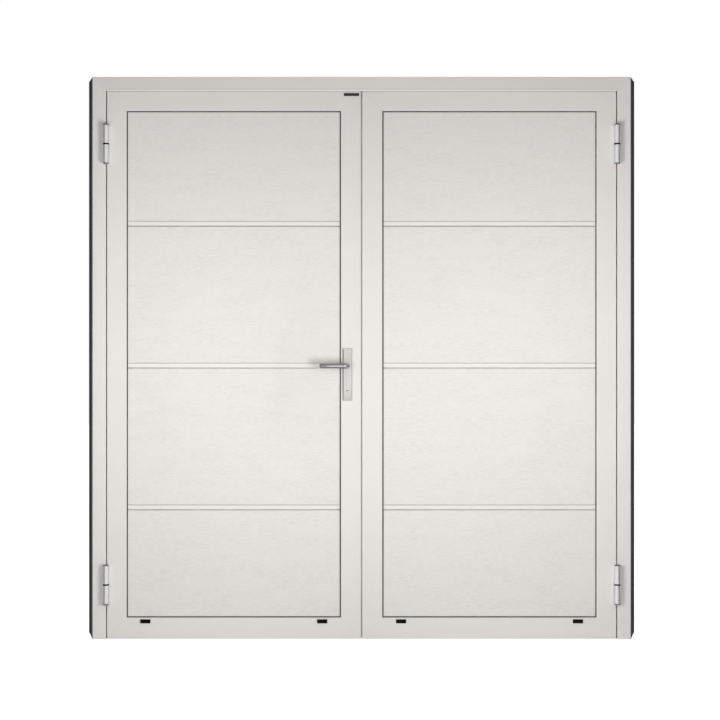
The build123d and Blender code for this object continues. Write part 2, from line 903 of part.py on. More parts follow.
def leaf_nodes():
    hinge_stile, top_rail, meeting_stile, bottom_rail = leaf_bars()
    shared = {
        "hinge_stile": hinge_stile,
        "top_rail": top_rail,
        "bottom_rail": bottom_rail,
        "corner_cleats": leaf_cleats(),
        "panel_gaskets": panel_gaskets(),
        "glazing_beads": beads(),
        "drain_caps": drain_caps(),
        "edge_seals": edge_seals(),
        "hinge_leaf_halves": group([hinge_half(centre, 1) for centre in hinge_centres]),
    }
    for number, panel in enumerate(panels()):
        shared[f"panel_{number + 1}"] = panel
    nodes = {}
    for name, shape in shared.items():
        nodes[f"left_{name}"] = shape
        nodes[f"right_{name}"] = group([mirrored(solid) for solid in shape.solids()])
    nodes["left_lock_stile"] = lock_stile(meeting_stile)
    nodes["right_meeting_stile"] = strike_stile(mirrored(meeting_stile))
    nodes["left_stile_plugs"] = stile_plugs(0)
    nodes["right_stile_plugs"] = mirrored(stile_plugs(bolt_radius + fit_gap))
    return nodes


def lock_nodes():
    lever = outside_lever()
    plate = outside_plate()
    return {
        "lock_faceplate": faceplate(),
        "lock_case": lock_case(),
        "lock_cover": lock_cover(),
        "latch_bolt": latch_bolt(),
        "dead_bolt": dead_bolt(),
        "spindle": spindle(),
        "follower": follower(),
        "outside_lever": lever,
        "inside_lever": mirror(lever, about=Plane.XZ),
        "outside_plate": plate,
        "inside_plate": mirror(plate, about=Plane.XZ),
        "cylinder_body": cylinder_body(),
        "key_plug": key_plug(),
        "strike_plate": strike_plate(),
        "flush_bolt_plates": group([bolt_plate(1), bolt_plate(-1)]),
        "top_flush_bolt": flush_bolt(-1),
        "bottom_flush_bolt": flush_bolt(1),
    }


os.makedirs("parts", exist_ok=True)
for node, shape in {**frame_nodes(), **leaf_nodes(), **lock_nodes()}.items():
    export_step(shape, f"parts/{node}.step")
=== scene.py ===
import bpy
import json
import math
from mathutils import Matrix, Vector

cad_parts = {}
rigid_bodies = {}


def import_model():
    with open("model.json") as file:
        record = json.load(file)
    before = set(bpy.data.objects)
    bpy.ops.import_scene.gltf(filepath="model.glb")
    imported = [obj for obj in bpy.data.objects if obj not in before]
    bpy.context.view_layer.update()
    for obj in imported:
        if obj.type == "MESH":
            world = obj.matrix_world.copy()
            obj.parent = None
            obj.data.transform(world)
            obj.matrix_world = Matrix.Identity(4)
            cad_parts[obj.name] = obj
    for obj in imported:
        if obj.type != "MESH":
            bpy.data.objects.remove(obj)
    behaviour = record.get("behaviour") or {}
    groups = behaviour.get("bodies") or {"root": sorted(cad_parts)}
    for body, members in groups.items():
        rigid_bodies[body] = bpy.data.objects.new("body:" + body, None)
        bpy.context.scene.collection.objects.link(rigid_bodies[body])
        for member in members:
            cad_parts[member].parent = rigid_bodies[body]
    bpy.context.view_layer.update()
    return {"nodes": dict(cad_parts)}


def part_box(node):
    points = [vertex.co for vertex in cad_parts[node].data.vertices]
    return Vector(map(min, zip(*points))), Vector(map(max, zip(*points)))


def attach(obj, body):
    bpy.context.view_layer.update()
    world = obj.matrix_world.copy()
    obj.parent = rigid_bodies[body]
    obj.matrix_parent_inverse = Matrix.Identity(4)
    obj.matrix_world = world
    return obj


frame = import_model()
nodes = frame["nodes"]
print("frame loaded:", len(nodes), "nodes")

# Door sizes that the finishes and the small pieces are set out from, in metres
door = {
    "frontY": -0.030,
    "frameHalf": 1.000,
    "frameTop": 2.090,
    "leafNear": 0.004,     # meeting edge of a leaf, from the middle
    "leafFar": 0.946,      # hinge edge of a leaf, from the middle
    "leafLow": 0.008,
    "leafHigh": 2.036,
    "lockY": -0.010,       # middle of the lock, in the depth of the leaf
    "keyZ": 0.924,         # axis of the key plug
    "lowJoint": 0.481,     # lowest joint between two panels
    "module": 0.5275,      # from one panel joint to the next
}
quarter = math.pi / 2
white = (1.0, 1.0, 1.0, 1.0)

# Span in which most values of a noise lie
noiseSpan = (0.3, 0.7)


# Small tools for building node trees
def addNode(tree, kind, inputs=None, **settings):
    made = tree.nodes.new(kind)
    for key, value in settings.items():
        setattr(made, key, value)
    for key, value in (inputs or {}).items():
        plug = made.inputs[key]
        if isinstance(value, bpy.types.NodeSocket):
            tree.links.new(value, plug)
        else:
            plug.default_value = value
    return made


def calc(tree, operation, first, second=0.0):
    return addNode(tree, "ShaderNodeMath", {0: first, 1: second}, operation=operation).outputs[0]


def spread(tree, value, fromLow, fromHigh, toLow, toHigh):
    inputs = {"Value": value, "From Min": fromLow, "From Max": fromHigh, "To Min": toLow, "To Max": toHigh}
    return addNode(tree, "ShaderNodeMapRange", inputs).outputs[0]


def objectPoint(tree):
    return addNode(tree, "ShaderNodeTexCoord").outputs["Object"]


def splitPoint(tree, point):
    return addNode(tree, "ShaderNodeSeparateXYZ", {0: point}).outputs


# Noise whose lumps per metre are given along each axis, so that it can be drawn out into grain
def drawnNoise(tree, point, perMetre, detail=2.0, rough=0.5, warp=0.0):
    placed = addNode(tree, "ShaderNodeMapping", {"Vector": point, "Scale": perMetre}).outputs[0]
    inputs = {"Vector": placed, "Scale": 1.0, "Detail": detail, "Roughness": rough, "Distortion": warp}
    return addNode(tree, "ShaderNodeTexNoise", inputs).outputs[0]


def evenNoise(tree, point, perMetre, detail=2.0, rough=0.5):
    return drawnNoise(tree, point, (perMetre, perMetre, perMetre), detail, rough)


# The mix node's colour sockets are its inputs 6 and 7 and its output 2
def blendColour(tree, share, first, second):
    return addNode(tree, "ShaderNodeMix", {0: share, 6: first, 7: second}, data_type="RGBA").outputs[2]


def raised(tree, height, strength, distance, under=None):
    inputs = {"Height": height, "Strength": strength, "Distance": distance}
    if under is not None:
        inputs["Normal"] = under
    return addNode(tree, "ShaderNodeBump", inputs).outputs[0]


def startFinish(name, metallic=0.0, specular=0.5):
    finish = bpy.data.materials.new(name)
    finish.use_nodes = True
    tree = finish.node_tree
    shader = tree.nodes["Principled BSDF"]
    shader.inputs["Metallic"].default_value = metallic
    shader.inputs["Specular IOR Level"].default_value = specular
    return finish, tree, shader


def plugIn(tree, shader, colour, roughness, normal):
    tree.links.new(colour, shader.inputs["Base Color"])
    tree.links.new(roughness, shader.inputs["Roughness"])
    tree.links.new(normal, shader.inputs["Normal"])


# White powder coat on the profiles, with hairlines where the mitred lengths meet, and along the head's lower
# edge a painted highlight band under a painted shade line
powderCoat = {
    "colour": (0.848, 0.819, 0.789, 1.0),
    "shade": (0.818, 0.791, 0.763, 1.0),
    "hairline": (0.71, 0.692, 0.666, 1.0),
    "hairlineHalf": 0.00025,
    "hairlineFade": 2.4,   # half widths at which a hairline has faded out
    "hairlineStrength": 0.25,
    "hairlineDepth": 0.0003,
    "leafMitre": 0.0835,   # how far a mitre reaches from the leaf's edges
    "frameMitre": 0.0725,
    # Painted highlight and painted shade: the band on the head's lower edge is painted brighter than the coat,
    # and a dark shade line is painted along its top
    "bead": (0.945, 0.920, 0.894, 1.0),
    "grooveShadePainted": (0.640, 0.624, 0.602, 1.0),
    "beadLow": 2.0360,     # painted highlight band along the lower edge of the head, under a painted shade line
    "beadHigh": 2.0430,
    "beadReach": 0.950,
    "grooveShadeHalf": 0.0009,
    "grooveShadeCore": 0.5,     # share of the painted shade line's width that has its full tone
    "peelPerMetre": 850.0,
    "peelDetail": 2.0,
    "peelStrength": 0.10,
    "peelDepth": 0.0004,
    "cloudPerMetre": 3.0,
    "cloudDetail": 3.0,
    "roughness": (0.40, 0.50),
}


def mitreHairline(tree, point, ofLeaf):
    place = splitPoint(tree, point)
    across = calc(tree, "ABSOLUTE", place[0])
    rise = place[2]
    if ofLeaf:
        fromNear = calc(tree, "SUBTRACT", across, door["leafNear"])
        fromFar = calc(tree, "SUBTRACT", door["leafFar"], across)
        fromLow = calc(tree, "SUBTRACT", rise, door["leafLow"])
        fromHigh = calc(tree, "SUBTRACT", door["leafHigh"], rise)
        fromSide = calc(tree, "MINIMUM", fromNear, fromFar)
        fromEnd = calc(tree, "MINIMUM", fromLow, fromHigh)
        reach = powderCoat["leafMitre"]
    else:
        fromSide = calc(tree, "SUBTRACT", door["frameHalf"], across)
        fromEnd = calc(tree, "SUBTRACT", door["frameTop"], rise)
        reach = powderCoat["frameMitre"]
    offLine = calc(tree, "ABSOLUTE", calc(tree, "SUBTRACT", fromSide, fromEnd))
    half = powderCoat["hairlineHalf"]
    line = spread(tree, offLine, half, powderCoat["hairlineFade"] * half, 1.0, 0.0)
    inCorner = calc(tree, "LESS_THAN", calc(tree, "MAXIMUM", fromSide, fromEnd), reach)
    return calc(tree, "MULTIPLY", line, inCorner)


# Paints a highlight band along the head's lower edge and a shade line along its top
def paintHeadHighlightAndShade(tree, point, coat):
    place = splitPoint(tree, point)
    rise = place[2]
    onHead = calc(tree, "LESS_THAN", calc(tree, "ABSOLUTE", place[0]), powderCoat["beadReach"])
    above = calc(tree, "GREATER_THAN", rise, powderCoat["beadLow"])
    below = calc(tree, "LESS_THAN", rise, powderCoat["beadHigh"])
    highlightBand = calc(tree, "MULTIPLY", calc(tree, "MULTIPLY", above, below), onHead)
    offGrooveShade = calc(tree, "ABSOLUTE", calc(tree, "SUBTRACT", rise, powderCoat["beadHigh"]))
    half = powderCoat["grooveShadeHalf"]
    shadeCore = spread(tree, offGrooveShade, powderCoat["grooveShadeCore"] * half, half, 1.0, 0.0)
    grooveShade = calc(tree, "MULTIPLY", shadeCore, onHead)
    highlighted = blendColour(tree, highlightBand, coat, powderCoat["bead"])
    return blendColour(tree, grooveShade, highlighted, powderCoat["grooveShadePainted"])


def makePowderCoat(name, ofLeaf):
    finish, tree, shader = startFinish(name)
    point = objectPoint(tree)
    clouds = evenNoise(tree, point, powderCoat["cloudPerMetre"], powderCoat["cloudDetail"])
    peel = evenNoise(tree, point, powderCoat["peelPerMetre"], powderCoat["peelDetail"])
    line = mitreHairline(tree, point, ofLeaf)
    coat = blendColour(tree, clouds, powderCoat["colour"], powderCoat["shade"])
    if not ofLeaf:
        coat = paintHeadHighlightAndShade(tree, point, coat)
    colour = blendColour(tree, line, coat, powderCoat["hairline"])
    roughness = spread(tree, clouds, *noiseSpan, *powderCoat["roughness"])
    skin = raised(tree, peel, powderCoat["peelStrength"], powderCoat["peelDepth"])
    offLine = calc(tree, "SUBTRACT", 1.0, line)
    normal = raised(tree, offLine, powderCoat["hairlineStrength"], powderCoat["hairlineDepth"], skin)
    plugIn(tree, shader, colour, roughness, normal)
    return finish


# White coated sheet with a fine embossed grain along X, smooth on the hem over each joint; the hem is painted
# lighter as a painted highlight, and a painted shade line runs along the crease above it
panelSheet = {
    "colour": (0.838, 0.811, 0.784, 1.0),
    "vein": (0.745, 0.722, 0.698, 1.0),
    "smoothHemPaintedLight": (0.870, 0.846, 0.818, 1.0),
    "paintedCreaseShade": (0.500, 0.484, 0.464, 1.0),
    "creaseShadeHalf": 0.0016,
    "creaseShadeCore": 0.4,     # share of the crease's painted shade line that has its full tone
    "hem": 0.0180,         # from the middle of a joint up to the crease
    "hemFade": 0.001,
    "grainPerMetre": (44.0, 120.0, 240.0),
    "figurePerMetre": (8.0, 30.0, 26.0),
    "noiseDetail": 1.0,
    "noiseRough": 0.5,
    "noiseWarp": 0.4,
    "streakSpan": (0.36, 0.64),
    "patchSpan": (0.35, 0.65),
    "patchShare": (0.45, 1.0),
    "veinShare": 0.6,
    "veinStrength": 0.35,
    "veinDepth": 0.0005,
    "roughness": (0.40, 0.52),
}


def sheetNoise(tree, point, perMetre):
    return drawnNoise(
        tree, point, perMetre, panelSheet["noiseDetail"], panelSheet["noiseRough"], panelSheet["noiseWarp"]
    )


def makePanelSheet():
    finish, tree, shader = startFinish("panelSheet")
    point = objectPoint(tree)
    rise = splitPoint(tree, point)[2]
    step = calc(tree, "DIVIDE", calc(tree, "SUBTRACT", rise, door["lowJoint"]), door["module"])
    overJoint = calc(tree, "MULTIPLY", calc(tree, "FRACT", step), door["module"])
    hem = panelSheet["hem"]
    embossed = spread(tree, overJoint, hem, hem + panelSheet["hemFade"], 0.0, 1.0)
    offCreaseShade = calc(tree, "ABSOLUTE", calc(tree, "SUBTRACT", overJoint, hem))
    half = panelSheet["creaseShadeHalf"]
    paintedCreaseShade = spread(tree, offCreaseShade, panelSheet["creaseShadeCore"] * half, half, 1.0, 0.0)
    figure = sheetNoise(tree, point, panelSheet["figurePerMetre"])
    grain = sheetNoise(tree, point, panelSheet["grainPerMetre"])
    streaks = spread(tree, grain, *panelSheet["streakSpan"], 0.0, 1.0)
    patches = spread(tree, figure, *panelSheet["patchSpan"], *panelSheet["patchShare"])
    vein = calc(tree, "MULTIPLY", calc(tree, "MULTIPLY", streaks, patches), embossed)
    # The smooth hem is painted lighter than the sheet: painted highlight
    sheet = blendColour(tree, embossed, panelSheet["smoothHemPaintedLight"], panelSheet["colour"])
    veinTone = calc(tree, "MULTIPLY", vein, panelSheet["veinShare"])
    figured = blendColour(tree, veinTone, sheet, panelSheet["vein"])
    # Painted shade along the crease groove
    colour = blendColour(tree, paintedCreaseShade, figured, panelSheet["paintedCreaseShade"])
    roughness = spread(tree, vein, 0.0, 1.0, *panelSheet["roughness"])
    offVein = calc(tree, "SUBTRACT", 1.0, vein)
    normal = raised(tree, offVein, panelSheet["veinStrength"], panelSheet["veinDepth"])
    plugIn(tree, shader, colour, roughness, normal)
    return finish


# Rubber and plastic: a dull skin with a fine grain, worn paler in patches
dullSkin = {
    "grainDetail": 3.0,
    "grainRough": 0.6,
    "grainStrength": 0.3,
    "patchPerMetre": 14.0,
    "patchDetail": 3.0,
    "patchSpan": (0.35, 0.7),
}
dullFinishes = {
    "gasketRubber": {
        "colour": (0.034, 0.033, 0.032, 1.0),
        "worn": (0.058, 0.056, 0.053, 1.0),
        "grainPerMetre": 700.0,
        "roughness": (0.55, 0.75),
        "depth": 0.0002,
        "specular": 0.3,
    },
    "greySeal": {
        "colour": (0.46, 0.45, 0.43, 1.0),
        "worn": (0.53, 0.52, 0.50, 1.0),
        "grainPerMetre": 600.0,
        "roughness": (0.6, 0.8),
        "depth": 0.0002,
        "specular": 0.3,
    },
    "blackPlastic": {
        "colour": (0.0025, 0.0025, 0.0025, 1.0),
        "worn": (0.0045, 0.0045, 0.0045, 1.0),
        "grainPerMetre": 1800.0,
        "roughness": (0.45, 0.6),
        "depth": 0.0001,
        "specular": 0.05,
    },
    "hingeCapPlastic": {
        "colour": (0.16, 0.17, 0.18, 1.0),
        "worn": (0.21, 0.22, 0.23, 1.0),
        "grainPerMetre": 1500.0,
        "roughness": (0.40, 0.5),
        "depth": 0.0001,
        "specular": 0.4,
    },
}


def makeDull(name):
    facts = dullFinishes[name]
    finish, tree, shader = startFinish(name, specular=facts["specular"])
    point = objectPoint(tree)
    grain = evenNoise(tree, point, facts["grainPerMetre"], dullSkin["grainDetail"], dullSkin["grainRough"])
    patches = evenNoise(tree, point, dullSkin["patchPerMetre"], dullSkin["patchDetail"])
    wear = spread(tree, patches, *dullSkin["patchSpan"], 0.0, 1.0)
    colour = blendColour(tree, wear, facts["colour"], facts["worn"])
    roughness = spread(tree, grain, *noiseSpan, *facts["roughness"])
    plugIn(tree, shader, colour, roughness, raised(tree, grain, dullSkin["grainStrength"], facts["depth"]))
    return finish


# Badge plate: black rim round a dark grey field
badge = {
    "width": 0.0565,
    "height": 0.0105,
    "depth": 0.0016,
    "rim": 0.0020,
    "dip": 0.0004,
    "round": 0.0003,
    "x": -0.0375,
    "z": 2.0240,
}
badgeFinish = {
    "rim": (0.006, 0.006, 0.006, 1.0),
    "field": (0.060, 0.061, 0.062, 1.0),
    "grainPerMetre": 1500.0,
    "grainStrength": 0.2,
    "grainDepth": 0.0001,
    "roughness": (0.45, 0.6),
    "specular": 0.1,
}


def makeBadgeFinish():
    finish, tree, shader = startFinish("badgePlastic", specular=badgeFinish["specular"])
    point = objectPoint(tree)
    place = splitPoint(tree, point)
    across = calc(tree, "ABSOLUTE", calc(tree, "SUBTRACT", place[0], badge["x"]))
    rise = calc(tree, "ABSOLUTE", calc(tree, "SUBTRACT", place[2], badge["z"]))
    inWidth = calc(tree, "LESS_THAN", across, badge["width"] / 2 - badge["rim"])
    inHeight = calc(tree, "LESS_THAN", rise, badge["height"] / 2 - badge["rim"])
    inField = calc(tree, "MULTIPLY", inWidth, inHeight)
    grain = evenNoise(tree, point, badgeFinish["grainPerMetre"])
    colour = blendColour(tree, inField, badgeFinish["rim"], badgeFinish["field"])
    roughness = spread(tree, grain, *noiseSpan, *badgeFinish["roughness"])
    normal = raised(tree, grain, badgeFinish["grainStrength"], badgeFinish["grainDepth"])
    plugIn(tree, shader, colour, roughness, normal)
    return finish


# Foam strip beside the jambs: a dark grey near step and a nearly black far step, whose dark tone is partly its
# own colour and partly painted shade of the recessed step
foamStrip = {
    "near": (0.072, 0.075, 0.083, 1.0),
    "far": (0.026, 0.029, 0.034, 1.0),
    "stepFrom": 0.0065,
    "stepTo": 0.0075,
    "poresPerMetre": 900.0,
    "poreStrength": 0.4,
    "poreDepth": 0.0003,
    "patchPerMetre": (40.0, 40.0, 9.0),
    "patchDetail": 3.0,
    "patchSpan": (0.3, 0.8),
    "patchShare": 0.35,
    "roughness": (0.78, 0.92),
    "specular": 0.3,
}


def makeFoamStrip():
    finish, tree, shader = startFinish("foamStrip", specular=foamStrip["specular"])
    point = objectPoint(tree)
    across = calc(tree, "ABSOLUTE", splitPoint(tree, point)[0])
    beyond = calc(tree, "SUBTRACT", across, door["frameHalf"])
    isFar = spread(tree, beyond, foamStrip["stepFrom"], foamStrip["stepTo"], 0.0, 1.0)
    poreInputs = {"Vector": point, "Scale": foamStrip["poresPerMetre"]}
    pores = addNode(tree, "ShaderNodeTexVoronoi", poreInputs).outputs[0]
    patches = drawnNoise(tree, point, foamStrip["patchPerMetre"], foamStrip["patchDetail"])
    # The far step is painted darker, partly as painted shade of its recess
    base = blendColour(tree, isFar, foamStrip["near"], foamStrip["far"])
    patchTone = spread(tree, patches, *foamStrip["patchSpan"], 0.0, foamStrip["patchShare"])
    colour = blendColour(tree, patchTone, base, foamStrip["far"])
    roughness = spread(tree, patches, *noiseSpan, *foamStrip["roughness"])
    normal = raised(tree, pores, foamStrip["poreStrength"], foamStrip["poreDepth"])
    plugIn(tree, shader, colour, roughness, normal)
    return finish


# Metals: brushed or drawn lines along one axis, with a little cloudiness
metalSkin = {
    "lineDetail": 2.0,
    "lineRough": 0.6,
    "lineShare": 0.6,
    "lineStrength": 0.2,
    "cloudPerMetre": 25.0,
    "cloudDetail": 3.0,
    "cloudShare": 0.4,
}
metalFinishes = {
    "castAluminium": {
        "colour": (0.56, 0.56, 0.56, 1.0),
        "dark": (0.44, 0.44, 0.45, 1.0),
        "linesPerMetre": (500, 500, 500),
        "roughness": (0.45, 0.6),
        "depth": 0.0003,
        "brushed": 0.0,
    },
    "satinAluminium": {
        "colour": (0.74, 0.742, 0.74, 1.0),
        "dark": (0.66, 0.664, 0.668, 1.0),
        "linesPerMetre": (2600, 2600, 14),
        "roughness": (0.26, 0.40),
        "depth": 0.00006,
        "brushed": 0.3,
    },
    "plateSteel": {
        "colour": (0.60, 0.590, 0.570, 1.0),
        "dark": (0.53, 0.521, 0.503, 1.0),
        "linesPerMetre": (3000, 3000, 16),
        "roughness": (0.30, 0.44),
        "depth": 0.00006,
        "brushed": 0.4,
    },
    "leverSteel": {
        "colour": (0.42, 0.425, 0.435, 1.0),
        "dark": (0.36, 0.365, 0.375, 1.0),
        "linesPerMetre": (18, 2600, 2600),
        "roughness": (0.15, 0.24),
        "depth": 0.00006,
        "brushed": 0.3,
    },
    "zincSteel": {
        "colour": (0.62, 0.62, 0.60, 1.0),
        "dark": (0.48, 0.49, 0.50, 1.0),
        "linesPerMetre": (600, 600, 60),
        "roughness": (0.28, 0.46),
        "depth": 0.0001,
        "brushed": 0.2,
    },
    "nickelBrass": {
        "colour": (0.57, 0.556, 0.53, 1.0),
        "dark": (0.50, 0.487, 0.465, 1.0),
        "linesPerMetre": (2400, 2400, 300),
        "roughness": (0.24, 0.36),
        "depth": 0.00005,
        "brushed": 0.2,
    },
    "screwSteel": {
        "colour": (0.66, 0.66, 0.65, 1.0),
        "dark": (0.50, 0.50, 0.50, 1.0),
        "linesPerMetre": (900, 900, 900),
        "roughness": (0.25, 0.40),
        "depth": 0.00005,
        "brushed": 0.0,
    },
}

# On the hinges only the barrels are bare, and the plates beside them are coated like the profiles
hingeBarrel = {"axis": 0.948, "bareTo": 0.0113, "coatFrom": 0.0117, "metallic": 0.45}


def coatPlates(tree, shader, point, metal):
    across = calc(tree, "ABSOLUTE", splitPoint(tree, point)[0])
    offAxis = calc(tree, "ABSOLUTE", calc(tree, "SUBTRACT", across, hingeBarrel["axis"]))
    bare = spread(tree, offAxis, hingeBarrel["bareTo"], hingeBarrel["coatFrom"], 1.0, 0.0)
    tree.links.new(calc(tree, "MULTIPLY", bare, hingeBarrel["metallic"]), shader.inputs["Metallic"])
    return blendColour(tree, bare, powderCoat["colour"], metal)


def makeMetal(name):
    facts = metalFinishes[name]
    finish, tree, shader = startFinish(name, metallic=1.0)
    shader.inputs["Anisotropic"].default_value = facts["brushed"]
    point = objectPoint(tree)
    lines = drawnNoise(tree, point, facts["linesPerMetre"], metalSkin["lineDetail"], metalSkin["lineRough"])
    clouds = evenNoise(tree, point, metalSkin["cloudPerMetre"], metalSkin["cloudDetail"])
    lineTone = calc(tree, "MULTIPLY", lines, metalSkin["lineShare"])
    cloudTone = calc(tree, "MULTIPLY", clouds, metalSkin["cloudShare"])
    tone = spread(tree, calc(tree, "ADD", lineTone, cloudTone), *noiseSpan, 0.0, 1.0)
    colour = blendColour(tree, tone, facts["colour"], facts["dark"])
    if name == "satinAluminium":
        colour = coatPlates(tree, shader, point, colour)
    roughness = spread(tree, lines, *noiseSpan, *facts["roughness"])
    plugIn(tree, shader, colour, roughness, raised(tree, lines, metalSkin["lineStrength"], facts["depth"]))
    return finish


finishes = {
    "frameCoat": makePowderCoat("frameCoat", False),
    "leafCoat": makePowderCoat("leafCoat", True),
    "panelSheet": makePanelSheet(),
    "foamStrip": makeFoamStrip(),
    "badgePlastic": makeBadgeFinish(),
}
for name in dullFinishes:
    finishes[name] = makeDull(name)
for name in metalFinishes:
    finishes[name] = makeMetal(name)
print("finishes made:", len(finishes))

# Which finish each CAD node takes: the first line whose words end its name
nodeFinishes = (
    (("left_jamb", "right_jamb", "head", "threshold"), "frameCoat"),
    (("stile", "rail", "beads"), "leafCoat"),
    (("panel_1", "panel_2", "panel_3", "panel_4"), "panelSheet"),
    (("gaskets",), "gasketRubber"),
    (("edge_seals",), "greySeal"),
    (("side_strip",), "foamStrip"),
    (("cleats",), "castAluminium"),
    (("hinge_rings", "drain_caps", "plugs"), "blackPlastic"),
    (("hinge_caps", "hinge_pins"), "hingeCapPlastic"),
    (("hinge_frame_halves", "hinge_leaf_halves"), "satinAluminium"),
    (("outside_plate", "inside_plate"), "plateSteel"),
    (("lever",), "leverSteel"),
    (("cylinder_body", "key_plug"), "nickelBrass"),
    (("",), "zincSteel"),
)


def dressNode(node):
    finishName = next(finish for words, finish in nodeFinishes if node.endswith(words))
    mesh = nodes[node].data
    mesh.materials.clear()
    mesh.materials.append(finishes[finishName])


for node in nodes:
    dressNode(node)
print("nodes dressed:", len(nodes))

# A face looks along an axis when its normal has at least this share on it
faceLimit = 0.9

# Edges that turn by less than this, in degrees, are shaded smooth
smoothAngle = 32.0


# Tools for the pieces that are modelled here
def clearChoice():
    bpy.ops.object.select_all(action="DESELECT")


def chooseOnly(piece):
    clearChoice()
    piece.select_set(True)
    bpy.context.view_layer.objects.active = piece


def applyModifiers(piece):
    chooseOnly(piece)
    for modifier in list(piece.modifiers):
        bpy.ops.object.modifier_apply(modifier=modifier.name)


def roundEdges(piece, width, segments=3, angle=35.0):
    edge = piece.modifiers.new("roundEdges", "BEVEL")
    edge.width = width
    edge.segments = segments
    edge.limit_method = "ANGLE"
    edge.angle_limit = math.radians(angle)
    applyModifiers(piece)


def addBlock(size, place):
    clearChoice()
    bpy.ops.mesh.primitive_cube_add(size=1.0, location=place)
    block = bpy.context.object
    block.scale = size
    bpy.ops.object.transform_apply(location=True, rotation=True, scale=True)
    return block


def addDisc(radius, height, sides, middle):
    clearChoice()
    bpy.ops.mesh.primitive_cylinder_add(vertices=sides, radius=radius, depth=height, location=middle)
    return bpy.context.object


def cutAway(piece, cutter):
    cut = piece.modifiers.new("cut", "BOOLEAN")
    cut.operation = "DIFFERENCE"
    cut.object = cutter
    cut.solver = "EXACT"
    applyModifiers(piece)
    bpy.data.objects.remove(cutter)


# Opens a piece for editing with only the chosen faces or corners selected
def startEdit(piece, kind, isChosen):
    chooseOnly(piece)
    bpy.ops.object.mode_set(mode="EDIT")
    bpy.ops.mesh.select_mode(type=kind)
    bpy.ops.mesh.select_all(action="DESELECT")
    bpy.ops.object.mode_set(mode="OBJECT")
    for part in piece.data.polygons if kind == "FACE" else piece.data.vertices:
        part.select = isChosen(part)
    bpy.ops.object.mode_set(mode="EDIT")


def pressFaces(piece, isChosen, inset, push):
    startEdit(piece, "FACE", isChosen)
    bpy.ops.mesh.inset(thickness=inset, depth=0.0)
    bpy.ops.transform.translate(value=push)
    bpy.ops.object.mode_set(mode="OBJECT")


def moveCorners(piece, isChosen, push):
    startEdit(piece, "VERT", isChosen)
    bpy.ops.transform.translate(value=push)
    bpy.ops.object.mode_set(mode="OBJECT")


def copyTo(source, place, turn):
    chooseOnly(source)
    bpy.ops.object.duplicate(linked=False)
    copy = bpy.context.object
    copy.rotation_euler = turn
    copy.location = place
    bpy.ops.object.transform_apply(location=True, rotation=True, scale=True)
    return copy


def joinPieces(pieces):
    clearChoice()
    for piece in pieces:
        piece.select_set(True)
    bpy.context.view_layer.objects.active = pieces[0]
    bpy.ops.object.join()
    return bpy.context.object


def finishPiece(piece, name, body, finish):
    chooseOnly(piece)
    bpy.ops.object.shade_smooth_by_angle(angle=math.radians(smoothAngle))
    piece.name = name
    piece.data.name = name
    piece.data.materials.clear()
    piece.data.materials.append(finishes[finish])
    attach(piece, body)
    print("piece:", name, len(piece.data.polygons), "faces")


# Blank dark badge plate near the meeting corner of the left leaf's top rail
def makeBadge():
    y = door["frontY"] - badge["depth"] / 2
    plate = addBlock((badge["width"], badge["depth"], badge["height"]), (badge["x"], y, badge["z"]))
    pressFaces(plate, lambda face: face.normal.y < -faceLimit, badge["rim"], (0.0, badge["dip"], 0.0))
    roundEdges(plate, badge["round"], segments=2)
    finishPiece(plate, "badge_plate", "left_leaf", "badgePlastic")


makeBadge()

# Slim bead along the lower edge of the head, over the leaves' top gap, with a face that leans down
headTrim = {
    "half": 0.949,
    "low": 2.0368,
    "high": 2.0428,
    "proud": 0.0020,
    "sunk": 0.0004,
    "lean": 0.0016,
    "round": 0.0003,
}


def makeHeadBead():
    depth = headTrim["proud"] + headTrim["sunk"]
    height = headTrim["high"] - headTrim["low"]
    middleY = door["frontY"] - headTrim["proud"] + depth / 2
    middleZ = (headTrim["low"] + headTrim["high"]) / 2
    bead = addBlock((2 * headTrim["half"], depth, height), (0.0, middleY, middleZ))
    moveCorners(
        bead, lambda corner: corner.co.y < middleY and corner.co.z < middleZ, (0.0, headTrim["lean"], 0.0)
    )
    roundEdges(bead, headTrim["round"])
    # Its brighter tone is the painted highlight band of frameCoat
    finishPiece(bead, "head_edge_bead", "frame", "frameCoat")


makeHeadBead()

# Narrow coated lips along both meeting edges, in front of the seals, which leave a gap of 5 mm
meetingLip = {
    "reach": 0.0013,
    "depth": 0.0034,
    "bevel": 0.0008,
    "crown": 0.0002,
    "endPlay": 0.002,
    "round": 0.0004,
}


def makeMeetingLip(name, body, side):
    low = door["leafLow"] + meetingLip["endPlay"]
    high = door["leafHigh"] - meetingLip["endPlay"]
    x = side * (door["leafNear"] - meetingLip["reach"] / 2)
    y = door["frontY"] + meetingLip["depth"] / 2
    lip = addBlock((meetingLip["reach"], meetingLip["depth"], high - low), (x, y, (low + high) / 2))
    push = (-side * meetingLip["crown"], 0.0, 0.0)
    pressFaces(lip, lambda face: face.normal.x * side < -faceLimit, meetingLip["bevel"], push)
    roundEdges(lip, meetingLip["round"], segments=2)
    finishPiece(lip, name, body, "leafCoat")


makeMeetingLip("left_meeting_lip", "left_leaf", -1)
makeMeetingLip("right_meeting_lip", "right_leaf", 1)

# Coated drip lips under the front edge of the bottom rails, down to just over the floor
dripLip = {"low": 0.0042, "high": 0.0088, "depth": 0.0016, "endPlay": 0.002, "bevel": 0.0004, "round": 0.0003}


